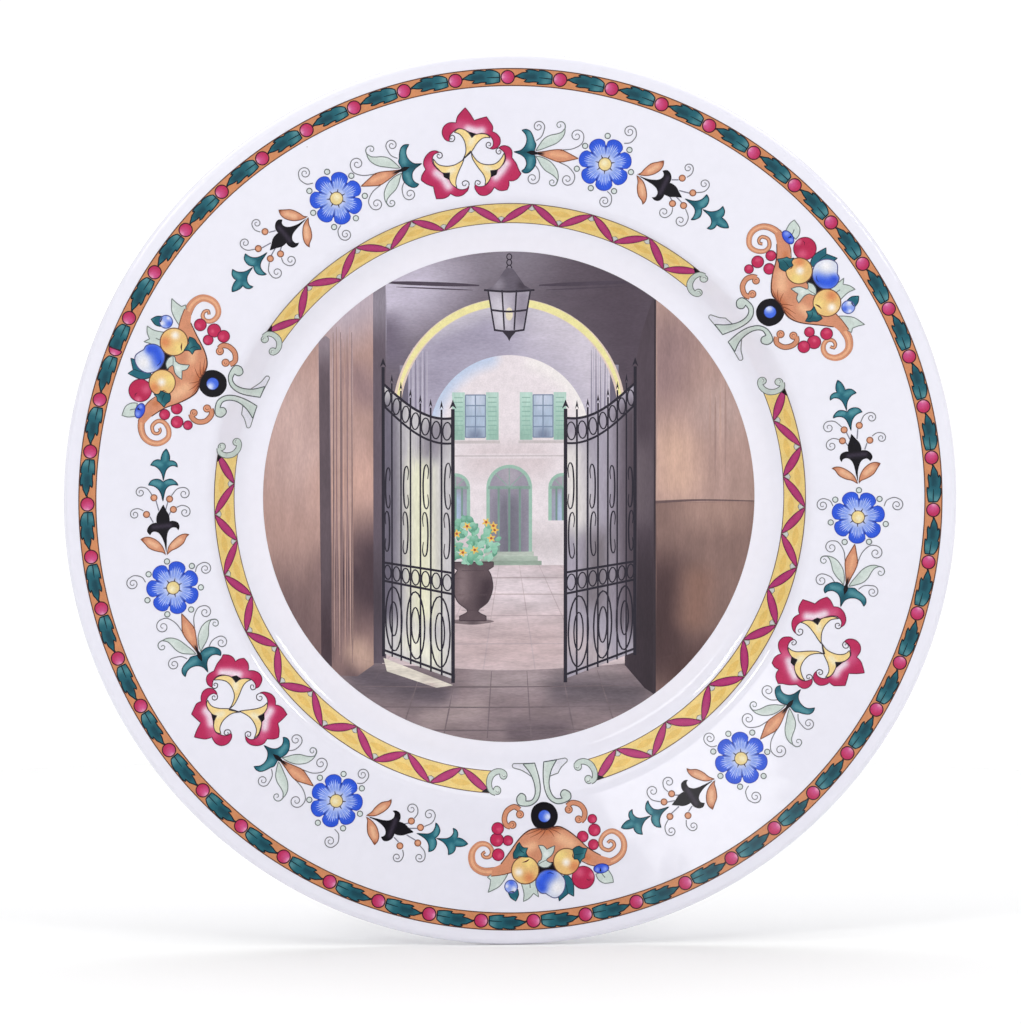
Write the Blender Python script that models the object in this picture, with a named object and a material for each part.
"""Souvenir plate: a fired ceramic body and the enamel transfers fused to its glaze.

Run with: blender --background --python part.py

The plate stands upright and faces -Y, with +Z up. Every piece is modelled as on a table, with
the foot ring on z = 0 and the top of the decoration towards +Y, and the empty "upright" stands
the whole plate up about the centre of its foot ring. Shapes below are in millimetres.

A motif is a list of flat shapes drawn with x clockwise and y outward from the motif's own
centre. Its solid is the thin sheet that follows the glaze, cut to those shapes.
"""
import math

import bmesh
import bpy

MM = 0.001

# Body: radii from the plate's axis, heights from the plane that the foot ring rests on.
PLATE_RADIUS = 135.0
EDGE_HEIGHT = 23.8
EDGE_THICKNESS = 3.0
RIM_INNER_RADIUS = 91.3
RIM_INNER_HEIGHT = 17.0
WELL_RADIUS = 82.0
WELL_HEIGHT = 7.0
FLOOR_THICKNESS = 4.2
SHOULDER_BACK_RADIUS = 94.8
SHOULDER_BACK_HEIGHT = 14.1
FOOT_ROOT_RADII = (79.4, 85.2)
FOOT_ROOT_OUTER_HEIGHT = 4.2
FOOT_RADII = (80.6, 83.8)
BODY_SEGMENTS = 72

# The longest straight run along a curved outline, about.
CHORD = 3.0

# Transfers: real enamel is about 0.03 mm thick, which is too thin for a solid.
ENAMEL_GAP = 0.12
ENAMEL_THICKNESS = 0.2
PICTURE_RADIUS = 74.9
LAUREL_RADII = (125.2, 130.6)
BORDER_RADII = (83.7, 89.7)
BORDER_ARCS = ((49.5, 145.9), (170.9, 265.9), (286.7, 382.3))

# Where the motifs stand, in degrees anticlockwise from the right, and at which radius.
PALMETTE_ANGLES = (97.2, 217.0, 334.3)
CORNUCOPIA_ANGLES = (36.0, 158.5, 276.1)
PALMETTE_RADIUS = 102.1
PALMETTE_OFFSET = -1.05
CORNUCOPIA_RADIUS = 107.9
CORNUCOPIA_TILT = 1.2
FLOWER_RADIUS = 105.5
FLOWER_OFFSET = 22.75
SPRIG_RADIUS = 106.6
SPRIG_OFFSET = 14.66
LILY_RADIUS = 105.6
LILY_OFFSET = 36.5

MATERIALS = {
    "glazed_ceramic": ((0.83, 0.81, 0.90), 0.12),
    "picture_enamel": ((0.30, 0.22, 0.19), 0.25),
    "laurel_enamel": ((0.09, 0.22, 0.26), 0.25),
    "border_enamel": ((0.85, 0.66, 0.25), 0.25),
    "crimson_enamel": ((0.50, 0.05, 0.13), 0.25),
    "fruit_enamel": ((0.70, 0.28, 0.11), 0.25),
    "blue_enamel": ((0.04, 0.11, 0.62), 0.25),
    "leaf_enamel": ((0.04, 0.16, 0.20), 0.25),
    "lily_enamel": ((0.02, 0.02, 0.03), 0.25),
}


# ---- flat shapes ---------------------------------------------------------------------------

def curve(points):
    """A smooth closed curve through the points. A point given twice in a row is a corner."""
    count = len(points)
    sampled = []
    for i in range(count):
        before, start, end, after = (points[(i + k) % count] for k in (-1, 0, 1, 2))
        if start == end:
            continue
        steps = max(1, round(math.dist(start, end) / CHORD))
        for k in range(steps):
            t = k / steps
            sampled.append(tuple(
                s + 0.5 * t * ((e - b) + t * ((2 * b - 5 * s + 4 * e - a)
                                              + t * (3 * s - b - 3 * e + a)))
                for b, s, e, a in zip(before, start, end, after)))
    return sampled


def disc(x, y, radius, count=12):
    """A circle."""
    turn = math.tau / count
    return [(x + radius * math.cos(i * turn), y + radius * math.sin(i * turn))
            for i in range(count)]


def stroke(path, start_width, end_width):
    """A brush stroke along a path, from one width to the other."""
    left, right = [], []
    last = len(path) - 1
    for i, (x, y) in enumerate(path):
        ahead, behind = path[min(i + 1, last)], path[max(i - 1, 0)]
        dx, dy = ahead[0] - behind[0], ahead[1] - behind[1]
        half = 0.5 * (start_width + (end_width - start_width) * i / last) / math.hypot(dx, dy)
        left.append((x - dy * half, y + dx * half))
        right.append((x + dy * half, y - dx * half))
    return left + right[::-1]


def mirrored(shapes):
    """The same shapes on the other side of the motif's centre line."""
    return [[(-x, y) for x, y in shape] for shape in shapes]


def placed(shapes, radius, tilt=0.0):
    """Shapes moved out to a radius above the plate's centre, turned about their own centre."""
    c, s = math.cos(math.radians(tilt)), math.sin(math.radians(tilt))
    return [[(c * x - s * y, radius + s * x + c * y) for x, y in shape] for shape in shapes]


def ring_sector(inner, outer, half_angle, steps):
    """A sector of a ring, centred above the plate's centre."""
    angles = [math.radians(90 - half_angle + 2 * half_angle * i / steps)
              for i in range(steps + 1)]
    return ([(outer * math.cos(a), outer * math.sin(a)) for a in angles]
            + [(inner * math.cos(a), inner * math.sin(a)) for a in reversed(angles)])


# ---- motifs --------------------------------------------------------------------------------

def palmette_shapes():
    """Three crimson petals held by three yellow trefoils that meet in the middle."""
    top_petal = [(-7.0, 7.9), (-8.5, 9.0), (-8.8, 10.8), (-6.5, 13.4), (-4.4, 13.2), (-4.4, 13.2),
                 (-3.8, 14.9), (-1.2, 17.4), (-1.2, 17.4), (1.1, 13.3), (1.1, 13.3), (4.9, 14.0),
                 (4.9, 14.0), (6.5, 10.8), (6.2, 9.4), (6.2, 9.4), (8.3, 7.2), (7.3, 4.5),
                 (4.9, 4.4), (4.9, 4.4), (6.1, 6.0), (4.8, 8.3), (1.0, 8.6), (-0.4, 8.6),
                 (-2.2, 10.5), (-4.0, 11.0), (-6.4, 9.7)]
    left_petal = [(-10.3, 4.9), (-10.3, 4.9), (-13.2, 5.2), (-15.3, 2.6), (-14.9, 0.2),
                  (-14.9, 0.2), (-16.6, -2.9), (-16.6, -2.9), (-13.1, -5.2), (-13.1, -5.2),
                  (-12.6, -9.0), (-12.6, -9.0), (-10.0, -9.1), (-8.2, -7.9), (-8.2, -7.9),
                  (-5.4, -9.0), (-2.9, -7.4), (-2.4, -6.0), (-2.4, -6.0), (-4.5, -7.1),
                  (-7.0, -5.2), (-7.8, -2.4), (-9.5, -1.4), (-12.2, 1.2), (-12.4, 3.5)]
    right_petal = [(7.6, 4.3), (7.6, 4.3), (9.6, 4.8), (11.5, 3.0), (11.3, 0.9), (11.3, 0.9),
                   (13.6, -4.2), (13.6, -4.2), (11.6, -6.0), (9.7, -5.9), (9.7, -5.9),
                   (8.9, -8.6), (8.9, -8.6), (6.6, -8.6), (5.1, -7.4), (5.1, -7.4), (2.3, -9.6),
                   (-0.5, -8.0), (-0.5, -6.0), (-0.5, -6.0), (1.4, -6.8), (3.6, -5.4),
                   (4.5, -3.0), (6.4, -2.0), (9.1, 0.4), (9.0, 3.0)]
    top_trefoil = [(-5.6, 10.5), (-5.6, 10.5), (-3.9, 11.3), (-0.8, 9.8), (0.2, 9.0), (3.0, 9.3),
                   (5.8, 7.6), (5.8, 7.6), (2.9, 7.6), (0.1, 4.9), (-1.0, 3.7), (-3.7, 1.7),
                   (-3.7, 1.7), (-2.3, 4.6), (-2.6, 8.0)]
    left_trefoil = [(-12.8, 3.6), (-12.8, 3.6), (-11.4, -0.3), (-9.0, -2.0), (-7.6, -5.6),
                    (-5.7, -6.9), (-5.7, -6.9), (-6.0, -3.5), (-4.0, 0.3), (-2.9, 2.4),
                    (-2.9, 2.4), (-6.6, 0.5), (-11.0, 1.3)]
    right_trefoil = [(-1.0, 4.4), (-1.0, 4.4), (0.9, 1.0), (4.5, -0.5), (8.0, 1.0), (9.3, 3.4),
                     (9.3, 3.4), (8.4, -1.2), (5.5, -3.2), (3.7, -5.8), (2.0, -7.1), (2.0, -7.1),
                     (2.3, -3.3), (0.1, 0.5)]
    hub = [(-3.9, 1.4), (-0.8, 4.5)]
    outlines = (top_petal, left_petal, right_petal, top_trefoil, left_trefoil, right_trefoil)
    return [curve(outline) for outline in outlines] + [stroke(hub, 0.7, 0.7)]


def flower_shapes():
    """A round flower with seven lobes."""
    lobes, mean_radius, wave, per_lobe = 7, 6.9, 1.1, 4
    outline = []
    for i in range(lobes * per_lobe):
        angle = math.tau * i / (lobes * per_lobe)
        radius = mean_radius + wave * (2 * abs(math.cos(0.5 * lobes * (angle - math.pi))) - 1)
        outline.append((radius * math.cos(angle), radius * math.sin(angle)))
    return [outline]


def sprig_shapes():
    """A teal crescent with one orange and two pale leaves, between palmette and flower."""
    crescent = [(-12.8, -2.0), (-12.8, -2.0), (-9.4, 0.2), (-9.3, 3.2), (-11.3, 4.8),
                (-11.3, 4.8), (-7.6, 3.9), (-5.6, 0.6), (-5.4, -2.6), (-6.6, -6.2), (-9.7, -7.4),
                (-9.7, -7.4), (-8.4, -5.0), (-9.6, -2.8)]
    orange_leaf = [(-6.4, -1.5), (-6.4, -1.5), (-2.4, -0.2), (1.0, 0.3), (6.7, -1.5),
                   (6.7, -1.5), (1.0, -3.2), (-2.4, -2.8)]
    upper_leaf = [(-6.6, -1.0), (-6.6, -1.0), (-4.6, 2.6), (-2.4, 5.4), (1.6, 7.0), (1.6, 7.0),
                  (0.2, 2.6), (-3.0, 0.0)]
    lower_leaf = [(-6.6, -2.0), (-6.6, -2.0), (-3.2, -2.6), (0.0, -4.6), (1.7, -9.0),
                  (1.7, -9.0), (-2.6, -7.6), (-4.8, -4.8)]
    return [curve(outline) for outline in (crescent, orange_leaf, upper_leaf, lower_leaf)]


def lily_shapes():
    """A black lily in two orange leaves, after the flower."""
    upper_leaf = [(-15.0, -1.0), (-15.0, -1.0), (-13.6, 3.4), (-10.3, 6.3), (-10.3, 6.3),
                  (-10.4, 3.0), (-11.8, 0.0), (-12.4, -1.6)]
    lower_leaf = [(-15.0, -1.0), (-15.0, -1.0), (-12.4, -0.6), (-11.0, -2.6), (-9.4, -5.0),
                  (-9.0, -8.0), (-9.0, -8.0), (-12.6, -5.4)]
    lily = [(-14.0, -1.2), (-14.0, -1.2), (-10.6, 0.6), (-8.8, 3.7), (-8.8, 3.7), (-6.6, 3.8),
            (-5.2, 2.4), (-4.8, 1.2), (-2.6, 0.9), (0.0, -0.4), (0.0, -0.4), (-2.6, -1.9),
            (-4.6, -2.4), (-5.0, -4.0), (-7.6, -5.0), (-7.6, -5.0), (-9.6, -2.6)]
    return [curve(outline) for outline in (upper_leaf, lower_leaf, lily)]


def tip_shapes():
    """Two teal trefoils, one behind the other, that end each spray."""
    first = [(1.3, -0.3), (1.3, -0.3), (4.8, 1.2), (6.4, 3.9), (6.4, 3.9), (8.2, 1.8),
             (9.4, -0.5), (8.0, -3.0), (6.0, -4.9), (6.0, -4.9), (4.8, -2.0)]
    second = [(7.5, -0.6), (7.5, -0.6), (10.4, 0.8), (12.3, 3.2), (12.3, 3.2), (13.0, 0.6),
              (17.0, -1.6), (17.0, -1.6), (13.0, -2.6), (11.6, -4.9), (11.6, -4.9), (10.6, -2.4)]
    return [curve(outline) for outline in (first, second)]


def cornucopia_shapes():
    """A basket of fruit with volutes, on a ball and a scrolled foot."""
    basket = [(-18.0, 4.6), (-15.5, 2.9), (-12.0, 0.2), (-9.0, -3.4), (-6.0, -6.2), (-3.5, -7.4),
              (0.0, -7.0), (3.0, -7.6), (5.5, -7.2), (8.5, -5.2), (12.5, -1.0), (15.0, 1.5),
              (18.0, 2.9), (17.0, 4.4), (13.4, 4.3), (6.0, 3.0), (-5.0, 3.6), (-12.0, 5.2),
              (-16.0, 5.8)]
    left_volute = [(-16.0, 5.0), (-19.3, 4.9), (-22.0, 3.1), (-23.0, 0.4), (-22.3, -2.2),
                   (-20.0, -3.9), (-17.6, -3.3), (-16.0, -1.3), (-16.3, 0.7), (-18.2, 1.7)]
    right_volute = [(16.0, 3.6), (18.0, 3.6), (20.8, 2.9), (23.0, 1.2), (23.6, -1.2),
                    (22.9, -3.6), (20.9, -5.2), (18.8, -5.1), (17.4, -3.8), (17.2, -2.2)]
    left_scroll = [(-10.2, -8.9), (-10.6, -7.8), (-12.0, -8.9), (-12.4, -10.9), (-11.3, -13.0),
                   (-9.0, -14.3), (-7.2, -13.4), (-6.9, -11.7), (-8.1, -11.2)]
    right_scroll = [(9.8, -10.2), (10.4, -9.1), (11.8, -9.6), (12.2, -11.6), (11.0, -14.1),
                    (8.6, -15.2), (6.8, -14.0), (7.0, -12.2), (8.1, -12.2)]
    left_foot = [(-7.6, -16.4), (-8.0, -15.0), (-5.4, -14.5), (-2.9, -16.2), (-2.0, -20.0),
                 (-4.0, -25.5)]
    right_foot = [(6.2, -17.0), (7.0, -15.6), (4.6, -15.1), (1.9, -16.9), (0.7, -20.0),
                  (2.4, -25.5)]
    sole = [(-9.4, -26.3), (-9.4, -25.4), (-4.0, -24.2), (3.0, -24.2), (7.0, -26.4)]
    twin_leaf = [(-4.0, 7.0), (-4.0, 7.0), (-6.2, 10.6), (-5.7, 13.9), (-5.7, 13.9),
                 (-4.2, 12.6), (-1.2, 14.7), (-1.2, 14.7), (-1.6, 10.0)]
    pale_twin_leaf = [(5.0, 7.6), (5.0, 7.6), (4.7, 12.8), (4.7, 12.8), (6.2, 11.6), (9.7, 13.4),
                      (9.7, 13.4), (9.5, 7.5), (9.5, 7.5)]
    left_leaf = [(-16.6, 6.6), (-16.6, 6.6), (-18.2, 11.2), (-18.2, 11.2), (-15.0, 11.0),
                 (-13.2, 7.6), (-13.2, 7.6)]
    right_leaf = [(13.4, 4.2), (13.4, 4.2), (15.8, 7.6), (19.9, 9.4), (19.9, 9.4), (19.3, 4.0),
                  (19.3, 4.0)]
    berry_leaf = [(11.0, 9.6), (11.0, 9.6), (12.0, 13.0), (12.0, 13.0), (13.9, 10.2),
                  (13.9, 10.2)]
    berries = ((-13.5, -0.5, 1.9), (-11.2, -3.3, 2.0), (-14.4, -4.9, 2.2), (-14.0, -8.2, 1.9),
               (15.4, -1.0, 1.9), (11.9, -5.2, 1.7), (15.2, -5.6, 2.1), (14.2, -9.2, 2.0))
    fruits = ((0.7, 9.4, 4.4), (-9.3, 8.8, 3.6), (-5.0, 3.4, 4.0), (7.9, 4.4, 4.3),
              (-15.1, 6.6, 1.9), (12.4, 8.2, 2.2), (-0.1, -11.0, 4.1))
    leaves = (basket, twin_leaf, pale_twin_leaf, left_leaf, right_leaf, berry_leaf)
    shapes = [curve(outline) for outline in leaves]
    shapes += [stroke(path, 2.0, 1.5) for path in (left_volute, right_volute)]
    shapes += [stroke(path, 1.5, 1.5) for path in (left_scroll, right_scroll)]
    shapes += [stroke(path, 1.7, 3.4) for path in (left_foot, right_foot)]
    shapes += [disc(*berry, count=8) for berry in berries]
    shapes += [disc(*fruit) for fruit in fruits]
    return shapes + [sole]


def border_shapes(half_angle):
    """A strip of the inner border with a C-scroll at each end."""
    inner, outer = BORDER_RADII
    scroll = [(2.6, 2.6), (2.2, 3.6), (0.6, 3.6), (-1.0, 1.6), (-0.9, -1.2), (0.9, -3.0),
              (3.2, -3.3), (4.2, -2.0)]
    middle = 0.5 * (inner + outer)
    end = math.radians(half_angle)
    shapes = [ring_sector(inner, outer, half_angle, 24)]
    for side in (1, -1):
        c, s = math.cos(end), side * math.sin(end)
        shapes.append([(c * x * side + s * (middle + y), c * (middle + y) - s * x * side)
                       for x, y in stroke(scroll, 1.4, 1.4)])
    return shapes


# ---- solids --------------------------------------------------------------------------------

def rounded(corners):
    """A line through (radius, height, fillet) corners, with an arc in place of each corner."""
    points = []
    for i, (r, h, fillet) in enumerate(corners):
        if fillet == 0:
            points.append((r, h))
            continue
        (r0, h0, _), (r1, h1, _) = corners[i - 1], corners[i + 1]
        back, ahead = math.atan2(h0 - h, r0 - r), math.atan2(h1 - h, r1 - r)
        half = 0.5 * ((ahead - back + math.pi) % math.tau - math.pi)
        reach = fillet / math.sin(abs(half))
        middle = back + half
        centre = (r + reach * math.cos(middle), h + reach * math.sin(middle))
        sweep = math.copysign(0.5 * math.pi - abs(half), half)
        steps = 1 + round(math.sqrt(fillet))
        for k in range(steps + 1):
            angle = middle + math.pi + sweep - 2 * sweep * k / steps
            points.append((centre[0] + fillet * math.cos(angle),
                           centre[1] + fillet * math.sin(angle)))
    return points


def front_corners():
    """The face of the plate, from its axis to its edge."""
    return [(0.0, WELL_HEIGHT, 0), (WELL_RADIUS, WELL_HEIGHT, 9.0),
            (RIM_INNER_RADIUS, RIM_INNER_HEIGHT, 6.0), (PLATE_RADIUS, EDGE_HEIGHT, 1.7)]


def back_corners():
    """The back of the plate, from its edge over the foot ring to its axis."""
    floor = WELL_HEIGHT - FLOOR_THICKNESS
    return [(PLATE_RADIUS, EDGE_HEIGHT - EDGE_THICKNESS, 1.1),
            (SHOULDER_BACK_RADIUS, SHOULDER_BACK_HEIGHT, 8.0),
            (FOOT_ROOT_RADII[1], FOOT_ROOT_OUTER_HEIGHT, 1.5),
            (FOOT_RADII[1], 0.0, 0.5), (FOOT_RADII[0], 0.0, 0.5),
            (FOOT_ROOT_RADII[0], floor, 1.5), (0.0, floor, 0)]


def face_line(inner, outer):
    """The (radius, height) line of the face between two radii."""
    body = rounded(front_corners() + back_corners())
    line = []
    for (r0, h0), (r1, h1) in zip(body, body[1:]):
        for radius in (inner, r1, outer):
            if r0 < radius <= r1 and inner <= radius <= outer:
                line.append((radius, h0 + (h1 - h0) * (radius - r0) / (r1 - r0)))
    return line


def mesh_from(bm, name):
    """Turn a bmesh in millimetres into a mesh in metres, with its faces outward."""
    bmesh.ops.recalc_face_normals(bm, faces=bm.faces)
    if bm.calc_volume(signed=True) < 0:
        bmesh.ops.reverse_faces(bm, faces=bm.faces)
    bmesh.ops.scale(bm, vec=(MM, MM, MM), verts=bm.verts)
    mesh = bpy.data.meshes.new(name)
    bm.to_mesh(mesh)
    bm.free()
    mesh.shade_smooth()
    mesh.set_sharp_from_angle(angle=math.radians(35))
    return mesh


def turned(profile, name, segments, closed):
    """A solid turned about the plate's axis from a (radius, height) line."""
    bm = bmesh.new()
    verts = [bm.verts.new((r, 0.0, h)) for r, h in profile]
    pairs = list(zip(verts, verts[1:]))
    if closed:
        pairs.append((verts[-1], verts[0]))
    edges = [bm.edges.new(pair) for pair in pairs]
    bmesh.ops.spin(bm, geom=verts + edges, cent=(0, 0, 0), axis=(0, 0, 1), angle=math.tau,
                   steps=segments, use_duplicate=False)
    bmesh.ops.remove_doubles(bm, verts=bm.verts, dist=0.001)
    return mesh_from(bm, name)


def glaze_sheet(inner, outer, half_angle, segments):
    """A sheet of enamel thickness that follows the face, centred above the plate's centre."""
    bm = bmesh.new()
    line = face_line(inner, outer)
    grid = []
    for i in range(segments + 1):
        angle = math.radians(90 - half_angle + 2 * half_angle * i / segments)
        grid.append([bm.verts.new((r * math.cos(angle), r * math.sin(angle), h + ENAMEL_GAP))
                     for r, h in line])
    for low, high in zip(grid, grid[1:]):
        for k in range(len(line) - 1):
            bm.faces.new((low[k], low[k + 1], high[k + 1], high[k]))
    top = bmesh.ops.extrude_face_region(bm, geom=bm.faces[:], use_keep_orig=True)["geom"]
    raised = [item for item in top if isinstance(item, bmesh.types.BMVert)]
    bmesh.ops.translate(bm, verts=raised, vec=(0, 0, ENAMEL_THICKNESS))
    return mesh_from(bm, "sheet")


def prisms(shapes):
    """Every flat shape raised through the whole height of the plate."""
    bm = bmesh.new()
    for shape in shapes:
        face = bm.faces.new([bm.verts.new((x, y, 0.0)) for x, y in shape])
        top = bmesh.ops.extrude_face_region(bm, geom=[face], use_keep_orig=True)["geom"]
        raised = [item for item in top if isinstance(item, bmesh.types.BMVert)]
        bmesh.ops.translate(bm, verts=raised, vec=(0, 0, 2 * EDGE_HEIGHT))
    return mesh_from(bm, "prisms")


def cut_transfer(name, shapes):
    """The mesh of one transfer: the sheet over the glaze, cut to the outline of its shapes."""
    margin = 0.5
    radii = [math.hypot(x, y) for shape in shapes for x, y in shape]
    spread = max(abs(math.atan2(x, y)) for shape in shapes for x, y in shape)
    half_angle = math.degrees(spread) + margin
    segments = max(2, round(half_angle / 2.5))
    sheet = new_object("sheet", glaze_sheet(min(radii) - margin, max(radii) + margin, half_angle,
                                            segments))
    cutter = new_object("cutter", prisms(shapes))
    cut = sheet.modifiers.new("outline", "BOOLEAN")
    cut.operation = "INTERSECT"
    cut.use_self = True
    cut.object = cutter
    bpy.context.view_layer.update()
    evaluated = sheet.evaluated_get(bpy.context.evaluated_depsgraph_get())
    mesh = bpy.data.meshes.new_from_object(evaluated)
    mesh.name = name
    mesh.materials.clear()
    for scratch in (sheet, cutter):
        bpy.data.objects.remove(scratch)
    return mesh


# ---- objects -------------------------------------------------------------------------------

def new_object(name, mesh):
    """An object in the scene that shows the mesh."""
    piece = bpy.data.objects.new(name, mesh)
    bpy.context.scene.collection.objects.link(piece)
    return piece


def material(slot):
    """The Principled material of a slot."""
    if slot in bpy.data.materials:
        return bpy.data.materials[slot]
    colour, roughness = MATERIALS[slot]
    made = bpy.data.materials.new(slot)
    made.use_nodes = True
    shader = made.node_tree.nodes["Principled BSDF"]
    shader.inputs["Base Color"].default_value = (*colour, 1.0)
    shader.inputs["Roughness"].default_value = roughness
    return made


def add_piece(name, mesh, slot, parent, angle=0.0):
    """One piece of the plate, turned anticlockwise about the axis by an angle in degrees."""
    piece = new_object(name, mesh)
    piece.parent = parent
    piece.rotation_euler = (0.0, 0.0, math.radians(angle))
    if not mesh.materials:
        mesh.materials.append(material(slot))
    return piece


def add_turned_pieces(parent):
    """The ceramic body, the picture in the well and the laurel band."""
    body = rounded(front_corners() + back_corners())
    add_piece("plate_body", turned(body, "plate_body", BODY_SEGMENTS, False),
              "glazed_ceramic", parent)
    low = WELL_HEIGHT + ENAMEL_GAP
    high = low + ENAMEL_THICKNESS
    picture = [(0.0, high), (PICTURE_RADIUS, high), (PICTURE_RADIUS, low), (0.0, low)]
    add_piece("centre_picture", turned(picture, "centre_picture", BODY_SEGMENTS, False),
              "picture_enamel", parent)
    inner, outer = LAUREL_RADII
    lows = [(r, h + ENAMEL_GAP) for r, h in face_line(inner, outer)]
    highs = [(r, h + ENAMEL_THICKNESS) for r, h in reversed(lows)]
    add_piece("laurel_band", turned(lows + highs, "laurel_band", BODY_SEGMENTS, True),
              "laurel_enamel", parent)


def add_border_strips(parent):
    """The three strips of the inner border, which are not equally long."""
    for number, (start, end) in enumerate(BORDER_ARCS, 1):
        name = f"inner_border_{number}"
        half_angle = 0.5 * (end - start)
        mesh = cut_transfer(name, border_shapes(half_angle))
        add_piece(name, mesh, "border_enamel", parent, 0.5 * (start + end) - 90)


def add_motifs(name, shapes, slot, parent, angles):
    """Copies of one motif at the given angles."""
    mesh = cut_transfer(name, shapes)
    for number, angle in enumerate(angles, 1):
        add_piece(f"{name}_{number}", mesh, slot, parent, angle - 90)


def add_paired_motifs(name, shapes, slot, parent, radius, offset):
    """One motif on each side of every palmette, the left one a mirror image."""
    meshes = (cut_transfer(name + "_right", placed(shapes, radius)),
              cut_transfer(name + "_left", placed(mirrored(shapes), radius)))
    number = 0
    for axis in PALMETTE_ANGLES:
        for mesh, side in zip(meshes, (-1, 1)):
            number += 1
            add_piece(f"{name}_{number}", mesh, slot, parent, axis + side * offset - 90)


def main():
    for leftover in list(bpy.data.objects):
        bpy.data.objects.remove(leftover)
    upright = bpy.data.objects.new("upright", None)
    upright.rotation_euler = (0.5 * math.pi, 0.0, 0.0)
    bpy.context.scene.collection.objects.link(upright)

    add_turned_pieces(upright)
    add_border_strips(upright)
    add_motifs("palmette", placed(palmette_shapes(), PALMETTE_RADIUS), "crimson_enamel", upright,
               [axis + PALMETTE_OFFSET for axis in PALMETTE_ANGLES])
    add_motifs("cornucopia", placed(cornucopia_shapes(), CORNUCOPIA_RADIUS, CORNUCOPIA_TILT),
               "fruit_enamel", upright, CORNUCOPIA_ANGLES)
    add_paired_motifs("blue_flower", flower_shapes(), "blue_enamel", upright, FLOWER_RADIUS,
                      FLOWER_OFFSET)
    add_paired_motifs("leaf_sprig", sprig_shapes(), "leaf_enamel", upright, SPRIG_RADIUS,
                      SPRIG_OFFSET)
    add_paired_motifs("black_lily", lily_shapes(), "lily_enamel", upright, LILY_RADIUS,
                      LILY_OFFSET)
    add_paired_motifs("tip_sprig", tip_shapes(), "leaf_enamel", upright, LILY_RADIUS,
                      LILY_OFFSET)


main()
